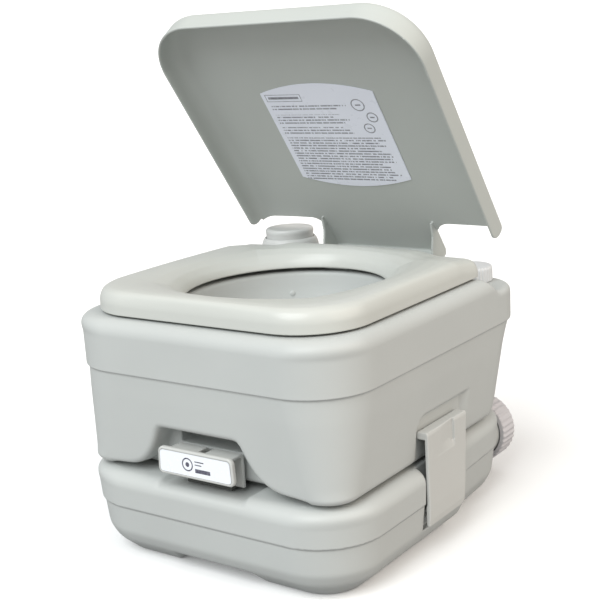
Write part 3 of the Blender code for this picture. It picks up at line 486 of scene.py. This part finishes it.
# ---------------------------------------------------------------- latches
def latch(x, y, z):
    """The right latch; the left one is its mirror image."""
    outline = [(179.2, 37.5), (181.5, LATCH_Z[0]), (183.0, 37.2), (183.9, 44), (184.5, 60), (184.6, 138), (183.8, 140.8), (182.4, LATCH_Z[1]), (172.2, LATCH_Z[1]), (170.6, 139.6), (170.6, 134.8), (172.2, 133.4), (180.4, 133.4), (180.4, 62), (179.2, 58)]
    # the rear edge leans forward towards the foot
    d = smax(polygon(x, z, outline), np.maximum(LATCH_Y[0] - y, y - LATCH_Y[1] + latch_lean(z)), 1.6)
    for lo, hi in ((LATCH_Y[0] + 9, LATCH_Y[0] + 21), (LATCH_Y[1] - 21, LATCH_Y[1] - 9)):
        ear = polygon(x, z, [(180.6, 41), (174.5, 41.4), (170.4, 43.4), (169, 47), (170.4, 50.6), (174.5, 52.6), (180.8, 56)])
        d = smin(d, smax(ear, slab(y, lo, hi), 0.6), 0.8)
    # thumb pull: a scoop that deepens to the rear and upwards, closed by a wall at its rear end
    deep = 184.6 - 2.5 * np.clip((y + 24.0) / 30.0, 0, 1) * np.clip((z - 110.0) / 11.0, 0, 1)
    dish = smax(smax(deep - x, slab(y, -30.0, 10.0), 0.8), 110.0 - z, 1.5)
    d = smax(d, -dish, 0.8)
    d = smax(d, -cuboid(x, y, z, (181.7, 4.6, 117.0), (190.0, 9.8, 139.0), 0.6), 0.5)
    return smax(d, -np.maximum(np.sqrt((x - LATCH_PIVOT[0]) ** 2 + (z - LATCH_PIVOT[1]) ** 2) - 2.35, np.abs(y) - 60), 0.4)


# ---------------------------------------------------------------- materials


class Nodes:
    """Short ways to write a shader's node tree."""

    def __init__(self, name):
        self.material = bpy.data.materials.new(name)
        self.material.use_nodes = True
        self.tree = self.material.node_tree
        self.shader = self.tree.nodes["Principled BSDF"]
        self.coord = self.tree.nodes.new("ShaderNodeTexCoord")

    def add(self, kind, **values):
        node = self.tree.nodes.new(kind)
        for key, value in values.items():
            setattr(node, key, value)
        return node

    def link(self, a, b):
        self.tree.links.new(a, b)

    def math(self, operation, *inputs, clamp=False):
        node = self.add("ShaderNodeMath", operation=operation, use_clamp=clamp)
        for n, value in enumerate(inputs):
            if isinstance(value, (int, float)):
                node.inputs[n].default_value = value
            else:
                self.link(value, node.inputs[n])
        return node.outputs[0]

    def noise(self, scale, detail=2.0, rough=0.5, stretch=None):
        node = self.add("ShaderNodeTexNoise")
        node.inputs["Scale"].default_value = scale
        node.inputs["Detail"].default_value = detail
        node.inputs["Roughness"].default_value = rough
        source = self.coord.outputs["Object"]
        if stretch:
            mapping = self.add("ShaderNodeMapping")
            mapping.inputs["Scale"].default_value = stretch
            self.link(source, mapping.inputs["Vector"])
            source = mapping.outputs[0]
        self.link(source, node.inputs["Vector"])
        return node.outputs["Fac"]

    def ramp(self, value, low, high, colours):
        node = self.add("ShaderNodeValToRGB")
        node.color_ramp.elements[0].position = low
        node.color_ramp.elements[1].position = high
        node.color_ramp.elements[0].color = (*colours[0], 1)
        node.color_ramp.elements[1].color = (*colours[1], 1)
        self.link(value, node.inputs[0])
        return node.outputs[0]

    def spread(self, value, low, high):
        node = self.add("ShaderNodeMapRange")
        node.inputs["From Min"].default_value = 0.3
        node.inputs["From Max"].default_value = 0.7
        node.inputs["To Min"].default_value = low
        node.inputs["To Max"].default_value = high
        self.link(value, node.inputs["Value"])
        return node.outputs[0]

    def bump(self, height, strength, distance, after=None):
        node = self.add("ShaderNodeBump")
        node.inputs["Strength"].default_value = strength
        node.inputs["Distance"].default_value = distance
        self.link(height, node.inputs["Height"])
        if after is not None:
            self.link(after, node.inputs["Normal"])
        return node.outputs["Normal"]


def linear(*rgb):
    return tuple((c / 255 / 12.92) if c / 255 <= 0.04045 else ((c / 255 + 0.055) / 1.055) ** 2.4 for c in rgb)


def plastic(name, colour, rough, vary=0.02, grain=1500.0, grain_depth=0.00006, specular=0.4, coat=0.0):
    """Moulded plastic: slightly uneven colour and gloss, a fine grain and a slow waviness."""
    n = Nodes(name)
    base = linear(*colour)
    dark = tuple(c * (1 - vary) for c in base)
    pale = tuple(min(1.0, c * (1 + vary)) for c in base)
    n.link(n.ramp(n.noise(9.0, 3.0), 0.3, 0.7, (dark, pale)), n.shader.inputs["Base Color"])
    n.link(n.spread(n.noise(28.0, 4.0), rough - 0.03, rough + 0.03), n.shader.inputs["Roughness"])
    n.shader.inputs["Specular IOR Level"].default_value = specular
    fine = n.bump(n.noise(grain, 2.0, 0.6), 0.35, grain_depth)
    wave = n.bump(n.noise(14.0, 1.0, 0.3), 0.25, 0.0010, fine)
    n.link(wave, n.shader.inputs["Normal"])
    n.shader.inputs["Coat Weight"].default_value = coat
    return n.material


HDPE = plastic("hdpe_grey_green", (187, 190, 188), 0.46)
LID_IN = plastic("lid_grey_green", (187, 191, 187), 0.44)
SEAT_MAT = plastic("seat_pale", (196, 198, 193), 0.33, vary=0.012, grain=2200.0, grain_depth=0.00003, coat=0.1)
TRIM = plastic("trim_pale_grey", (196, 197, 194), 0.42)
KNOB = plastic("pump_pale", (204, 205, 203), 0.36)
CAP = plastic("cap_cool_grey", (202, 200, 203), 0.42)
WHITE = plastic("white_plastic", (212, 214, 216), 0.32, vary=0.01)
INSIDE = plastic("white_inside", (225, 227, 228), 0.4, vary=0.015)


def rubber():
    n = Nodes("rubber_black")
    n.link(n.ramp(n.noise(60.0, 4.0), 0.3, 0.7, ((0.012, 0.012, 0.013), (0.026, 0.026, 0.028))), n.shader.inputs["Base Color"])
    n.link(n.spread(n.noise(120.0, 3.0), 0.62, 0.78), n.shader.inputs["Roughness"])
    n.link(n.bump(n.noise(1800.0, 2.0), 0.4, 0.00008), n.shader.inputs["Normal"])
    return n.material


def steel():
    n = Nodes("zinc_steel")
    n.link(n.ramp(n.noise(400.0, 4.0), 0.3, 0.7, ((0.42, 0.42, 0.43), (0.60, 0.60, 0.62))), n.shader.inputs["Base Color"])
    n.shader.inputs["Metallic"].default_value = 1.0
    n.link(n.spread(n.noise(900.0, 3.0), 0.26, 0.40), n.shader.inputs["Roughness"])
    return n.material


RUBBER, STEEL = rubber(), steel()


def box_mask(n, px, py, x0, x1, y0, y1):
    """1 inside a rectangle of the two coordinates, 0 outside."""
    a = n.math("GREATER_THAN", px, x0)
    b = n.math("LESS_THAN", px, x1)
    c = n.math("GREATER_THAN", py, y0)
    d = n.math("LESS_THAN", py, y1)
    return n.math("MULTIPLY", n.math("MULTIPLY", a, b), n.math("MULTIPLY", c, d))


def lid_label_material():
    """White film with a boxed heading, rows of grey bars where lines of text would be, and three plain ring marks."""
    n = Nodes("label_bars")
    split = n.add("ShaderNodeSeparateXYZ")
    n.link(n.coord.outputs["Object"], split.inputs[0])
    x = n.math("MULTIPLY", split.outputs["X"], 1000.0)
    y = n.math("MULTIPLY", split.outputs["Y"], -1000.0)  # from the hinge to the front, so up when the lid is open
    inks = []

    def lines(y0, y1, pitch, x0, x1, thick, ragged, seed):
        row = n.math("FLOOR", n.math("DIVIDE", n.math("SUBTRACT", y, y0), pitch))
        part = n.math("FRACT", n.math("DIVIDE", n.math("SUBTRACT", y, y0), pitch))
        bar = n.math("LESS_THAN", part, thick)
        white = n.add("ShaderNodeTexWhiteNoise", noise_dimensions="1D")
        n.link(n.math("ADD", row, seed), white.inputs["W"])
        end = n.math("SUBTRACT", x1, n.math("MULTIPLY", white.outputs["Value"], ragged))
        inside = n.math("MULTIPLY", n.math("GREATER_THAN", x, x0), n.math("LESS_THAN", x, end))
        word = n.add("ShaderNodeTexNoise", noise_dimensions="2D")
        word.inputs["Scale"].default_value = 1.0
        word.inputs["Detail"].default_value = 1.0
        both = n.add("ShaderNodeCombineXYZ")
        n.link(n.math("MULTIPLY", x, 0.42), both.inputs[0])
        n.link(n.math("MULTIPLY", row, 7.31), both.inputs[1])
        n.link(both.outputs[0], word.inputs["Vector"])
        gaps = n.math("GREATER_THAN", word.outputs["Fac"], 0.40)
        band = n.math("MULTIPLY", n.math("GREATER_THAN", y, y0), n.math("LESS_THAN", y, y1))
        inks.append(n.math("MULTIPLY", n.math("MULTIPLY", n.math("MULTIPLY", bar, inside), gaps), band))

    # heading box and its bar
    outer = box_mask(n, x, y, -72, -22, 232.5, 243)
    inner = box_mask(n, x, y, -71.2, -22.8, 233.3, 242.2)
    inks.append(n.math("SUBTRACT", outer, inner))
    inks.append(box_mask(n, x, y, -68.5, -25.5, 236.2, 239.6))
    lines(220.5, 229.0, 4.3, -70, 34, 0.42, 16, 3.0)
    lines(199.5, 213.0, 4.3, -70, 34, 0.42, 30, 11.0)
    lines(184.0, 194.0, 4.3, -70, 34, 0.42, 22, 23.0)
    lines(111.0, 178.0, 4.1, -70, 70, 0.46, 26, 31.0)
    for cx, cy, r in ((50, 226, 8.0), (62, 208, 6.5), (52, 192, 6.5)):
        d = n.math("SQRT", n.math("ADD", n.math("POWER", n.math("SUBTRACT", x, cx), 2.0), n.math("POWER", n.math("SUBTRACT", y, cy), 2.0)))
        inks.append(n.math("LESS_THAN", n.math("ABSOLUTE", n.math("SUBTRACT", d, r)), 0.7))
        inks.append(box_mask(n, x, y, cx - r * 0.45, cx + r * 0.45, cy - 0.9, cy + 0.9))
    total = inks[0]
    for ink in inks[1:]:
        total = n.math("MAXIMUM", total, ink)
    shade = n.math("MULTIPLY", total, n.spread(n.noise(240.0, 2.0), 0.62, 0.82))
    n.link(n.ramp(shade, 0.0, 1.0, (linear(238, 241, 252), linear(66, 66, 74))), n.shader.inputs["Base Color"])
    n.link(n.spread(n.noise(90.0, 3.0), 0.26, 0.36), n.shader.inputs["Roughness"])
    n.link(n.bump(n.noise(300.0, 2.0), 0.1, 0.0001), n.shader.inputs["Normal"])
    return n.material


def badge_material():
    """White badge with a plain mark: a ring beside a dark bar and two thin lines."""
    n = Nodes("badge_mark")
    split = n.add("ShaderNodeSeparateXYZ")
    n.link(n.coord.outputs["Object"], split.inputs[0])
    x = n.math("MULTIPLY", split.outputs["X"], 1000.0)
    z = n.math("MULTIPLY", split.outputs["Z"], 1000.0)
    d = n.math("SQRT", n.math("ADD", n.math("POWER", n.math("ADD", x, 9.5), 2.0), n.math("POWER", n.math("SUBTRACT", z, 129.0), 2.0)))
    inks = [
        n.math("LESS_THAN", n.math("ABSOLUTE", n.math("SUBTRACT", d, 6.6)), 0.75),
        n.math("LESS_THAN", d, 2.6),
        box_mask(n, x, z, 0.5, 20.5, 121.6, 126.0),
        box_mask(n, x, z, 0.5, 9.5, 129.6, 130.8),
        box_mask(n, x, z, 0.5, 12.5, 133.0, 134.2),
    ]
    total = inks[0]
    for ink in inks[1:]:
        total = n.math("MAXIMUM", total, ink)
    shade = n.math("MULTIPLY", total, n.spread(n.noise(400.0, 2.0), 0.85, 0.98))
    n.link(n.ramp(shade, 0.0, 1.0, (linear(240, 243, 248), linear(52, 50, 74))), n.shader.inputs["Base Color"])
    n.link(n.spread(n.noise(90.0, 3.0), 0.22, 0.30), n.shader.inputs["Roughness"])
    return n.material


def paint(obj, material):
    obj.data.materials.clear()
    obj.data.materials.append(material)
    return obj


# ---------------------------------------------------------------- pieces
def place(obj, material, body, slot_name, *nodes):
    paint(obj, material)
    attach(obj, body)
    if nodes:
        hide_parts(*nodes)
    return obj


place(sdf_object("waste_tank", lower_tank, (-183, -208, 0), (183, 220, 106), (2.0, 2.0, 1.5)), HDPE, "waste_unit", "tank_hdpe", "lower_tank")
place(sdf_object("fresh_tank", upper_tank, (-183, -208, 105), (183, 204, 278), (2.0, 2.0, 1.5)), HDPE, "fresh_unit", "tank_hdpe", "upper_tank")
place(sdf_object("seat_ring", seat, (-168.5, -193, 262), (168.5, 170.5, 301.5), (1.8, 1.8, 1.2)), SEAT_MAT, "seat", "seat_plastic", "seat")

OPENED = Matrix.Translation(Vector((0, HINGE_Y, HINGE_Z)) * MM) @ Matrix.Rotation(-math.radians(LID_OPEN), 4, "X")
place(turned_into_place(sdf_object("lid_shell", lid, (-174.5, -363, -7.5), (174.5, 9.2, 36), (1.8, 1.8, 1.2), OPENED)), LID_IN, "lid", "lid_plastic", "lid")
place(sdf_object("grip_plate", valve_handle, (-51.5, -206.2, 102.7), (51.5, -175.8, 143.7), 0.9), TRIM, "valve", "trim_plastic", "valve_handle")
right = sdf_object("latch_plate_right", latch, (168.8, -48.2, 35.9), (184.7, 38.2, 141.6), (0.9, 1.1, 1.1))
place(right, TRIM, "latch_r", "trim_plastic", "latch_right")
left = sdf_object("latch_plate_left", lambda x, y, z: latch(-x, y, z), (-184.7, -48.2, 35.9), (-168.8, 38.2, 141.6), (0.9, 1.1, 1.1))
place(left, TRIM, "latch_l", "trim_plastic", "latch_left")

collar = fillet([(29.5, 255.3), (34.4, 255.3), (35.2, 262), (36.6, 276), (37.2, 284), (36.6, 289), (34.6, 294), (32.4, 296.6), (31.4, 296), (31.6, 272), (29.5, 264)], 2.0)
place(turned_object("pump_flare", collar, 96, PUMP), KNOB, "fresh_unit", "trim_plastic", "pump_collar")
button = [(0, 299.0), (29.0, 299.0), (29.0, 286.4), (29.3, 286.0), (30.2, 286.0), (30.5, 286.4), (30.5, 299.2)] + [(31.0 - 2.5 * (1 - math.sin(math.radians(a))) + 0.0, 303.2 - 4.2 * math.cos(math.radians(a))) for a in range(60, 91, 15)] + [(31.0, 304.8)] + [(27.2 + 3.8 * math.cos(math.radians(a)), 304.8 + 3.6 * math.sin(math.radians(a))) for a in range(15, 91, 15)] + [(24.0, 307.9), (12, 307.3), (0, 307.2)]
place(turned_object("pump_top", button, 96, PUMP, sharp=40), KNOB, "pump", "trim_plastic", "pump_button")

outer_b = []
for k in range(5):
    z = 259.0 + 8.0 * k
    if k < 4:
        outer_b += [(23.0, z), (24.2, z + 0.7), (27.4, z + 3.2), (28.0, z + 4.0), (27.4, z + 4.8), (24.2, z + 7.3)]
    else:
        outer_b += [(23.0, z), (25.0, z + 5.5), (25.0, 298.7)]
bellows = outer_b + [(0, 298.7), (0, 296.2)] + [(21.4, 296.2)] + [(max(r - 2.0, 0), z) for r, z in outer_b[:-2]][::-1]
soft = turned_object("bellows_soft", bellows, 64, PUMP, sharp=50)
place(soft, RUBBER, "fresh_unit", "rubber", "pump_bellows")
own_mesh(soft)


def ribs(low, count, depth, inner):
    def shape(r, h, a):
        if r < inner:
            return r
        wave = 0.5 + 0.5 * math.cos(count * a)
        return r - depth * min(1.0, max(0.0, (wave - 0.35) / 0.3))

    return shape


cap = fillet([(34.6, 193.5), (39.2, 193.5), (40.5, 195.0), (40.5, 221.8), (38.6, 224.0), (30, 224.6), (0, 224.6)], [0.4, 1.0, 1.0, 2.2, 2.0])
cap = [p for p in cap] + [(0, 221), (34.6, 221)]
place(turned_object("spout_lid", cap, 288, SPOUT, "Y", ribs(0, 36, 1.0, 38.9), sharp=40), CAP, "spout", "cap_grey", "spout_cap")
fill = fillet([(21.2, 255.3), (25.6, 255.3), (26.5, 256.3), (26.5, 271.2), (25.0, 273.6), (0, 273.9)], [0.4, 0.8, 2.0, 2.0])
fill = fill + [(0, 270.4), (21.2, 270.4)]
place(turned_object("filler_lid", fill, 288, FILL, "Z", ribs(0, 36, 0.8, 25.2), sharp=40), WHITE, "filler", "white_plastic", "filler_cap")

# rinse nozzle: a low dome that just clears the bowl's wall
flow = Vector((-PUMP[0], BOWL_Y - PUMP[1], 0)).normalized()
aim = Matrix.Translation((Vector((PUMP[0], PUMP[1], 246)) + flow * 118.0) * MM) @ flow.to_track_quat("Z", "Y").to_matrix().to_4x4()
dome = [(0, -9.0), (4.2, -9.0), (4.2, 3.6), (3.7, 4.9), (2.4, 5.7), (0, 6.0)]
place(turned_object("nozzle_dome", dome, 32, (0, 0), matrix=aim), HDPE, "fresh_unit", "white_plastic", "flush_nozzle")

# label of the lid and badge of the plate: their own thin pieces
label_pts = []
for k in range(25):
    x = 77 - 154 * k / 24
    label_pts.append((x, -101 - 13 * (x / 77) ** 2))
for k in range(25):
    x = -77 + 154 * k / 24
    label_pts.append((x, -245 - 13 * (1 - (x / 77) ** 2)))
count = len(label_pts)
top = [(x, y, 31.55) for x, y in label_pts] + [(x, y, 32.1) for x, y in label_pts]
faces = [tuple(range(count))[::-1], tuple(range(count, 2 * count))] + [(i, (i + 1) % count, count + (i + 1) % count, count + i) for i in range(count)]
film = mesh_object("label_film", top, faces, matrix=OPENED)
film.data.set_sharp_from_angle(angle=math.radians(30))
place(film, lid_label_material(), "lid", "label", "lid_label")
paint(NODES["handle_label"], badge_material())

# the valve blade's dark grey is partly its own plastic colour and partly painted shade, darkening the space under the
# grip plate
for name, material in {
    "valve_frame": TRIM, "hinge_pin_left": KNOB, "hinge_pin_right": KNOB, "valve_blade": plastic("blade_grey_with_painted_shade", (74, 76, 73), 0.4), "pump_base": INSIDE,
    "intake_tube": INSIDE, "flush_tube": INSIDE, "valve_screw_1": STEEL, "valve_screw_2": STEEL,
    "valve_screw_3": STEEL, "valve_screw_4": STEEL, "latch_pin_left": STEEL, "latch_pin_right": STEEL,
    "seat_buffer_1": RUBBER, "seat_buffer_2": RUBBER, "seat_buffer_3": RUBBER, "seat_buffer_4": RUBBER,
    "valve_seal": RUBBER, "bowl_outlet_seal": RUBBER, "filler_gasket": RUBBER, "spout_gasket": RUBBER,
    "intake_valve": RUBBER, "outlet_valve": RUBBER,
}.items():
    paint(NODES[name], material)

# ---------------------------------------------------------------- stage: floor, light, camera
# a floor that sweeps up into a backdrop, turned to face the camera
profile = [(-16.0, 0.0), (2.2, 0.0)] + [(2.2 + 1.2 * math.sin(math.radians(a)), 1.2 - 1.2 * math.cos(math.radians(a))) for a in range(5, 91, 5)] + [(3.4, 5.0)]
sweep_points, sweep_faces = [], []
for across in (-8.0, 8.0):
    sweep_points += [(across, y, z - 0.0005) for y, z in profile]
for k in range(len(profile) - 1):
    sweep_faces.append((k, k + 1, len(profile) + k + 1, len(profile) + k))
floor_mesh = bpy.data.meshes.new("floor")
floor_mesh.from_pydata(sweep_points, [], sweep_faces)
floor_mesh.shade_smooth()
floor = bpy.data.objects.new("floor", floor_mesh)
floor.rotation_euler = (0, 0, math.radians(36.19))
bpy.context.scene.collection.objects.link(floor)
n = Nodes("floor_white")
seen = n.add("ShaderNodeLightPath").outputs["Is Camera Ray"]
n.link(n.ramp(n.math("MULTIPLY", seen, n.spread(n.noise(2.0, 2.0), 0.97, 1.0)), 0.0, 1.0, ((0.28, 0.28, 0.28), (0.93, 0.93, 0.93))), n.shader.inputs["Base Color"])
n.shader.inputs["Roughness"].default_value = 0.9
n.shader.inputs["Specular IOR Level"].default_value = 0.1
n.shader.inputs["Emission Color"].default_value = (1.0, 1.0, 1.0, 1)
n.shader.inputs["Emission Strength"].default_value = 0.08
paint(floor, n.material)

world = bpy.data.worlds.new("studio")
bpy.context.scene.world = world
world.use_nodes = True
back = world.node_tree.nodes["Background"]
back.inputs["Color"].default_value = (1.0, 1.0, 1.0, 1)
back.inputs["Strength"].default_value = 0.66


def sun(name, towards, power, colour, soft):
    """A very soft, far light that shines from a direction."""
    data = bpy.data.lights.new(name, "SUN")
    data.energy = power * math.pi
    data.angle = math.radians(soft)
    data.color = colour
    lamp = bpy.data.objects.new(name, data)
    lamp.rotation_euler = Vector(towards).to_track_quat("Z", "Y").to_euler()
    bpy.context.scene.collection.objects.link(lamp)
    return lamp


sun("key", (-0.02, -0.73, 0.68), 0.80, (0.95, 0.99, 1.0), 45)
sun("fill_right", (0.86, 0.12, 0.5), 0.42, (1.0, 0.86, 0.71), 60)

camera_data = bpy.data.cameras.new("camera")
camera = bpy.data.objects.new("camera", camera_data)
bpy.context.scene.collection.objects.link(camera)
camera_data.sensor_width = 36.0
camera_data.lens = 72.07
camera_data.clip_start = 0.05
camera_data.clip_end = 50
yaw, pitch, roll = math.radians(36.19), math.radians(12.82), math.radians(-3.56)
C = Vector((0.7838, -1.0763, 0.5616))
fw = Vector((-math.sin(yaw) * math.cos(pitch), math.cos(yaw) * math.cos(pitch), -math.sin(pitch)))
r0 = Vector((math.cos(yaw), math.sin(yaw), 0))
u0 = r0.cross(fw)
r = r0 * math.cos(roll) + u0 * math.sin(roll)
u = -r0 * math.sin(roll) + u0 * math.cos(roll)
camera.matrix_world = Matrix(((r.x, u.x, -fw.x, C.x), (r.y, u.y, -fw.y, C.y), (r.z, u.z, -fw.z, C.z), (0, 0, 0, 1)))
bpy.context.scene.camera = camera
bpy.context.scene.view_settings.view_transform = "Standard"
bpy.context.scene.view_settings.look = "None"
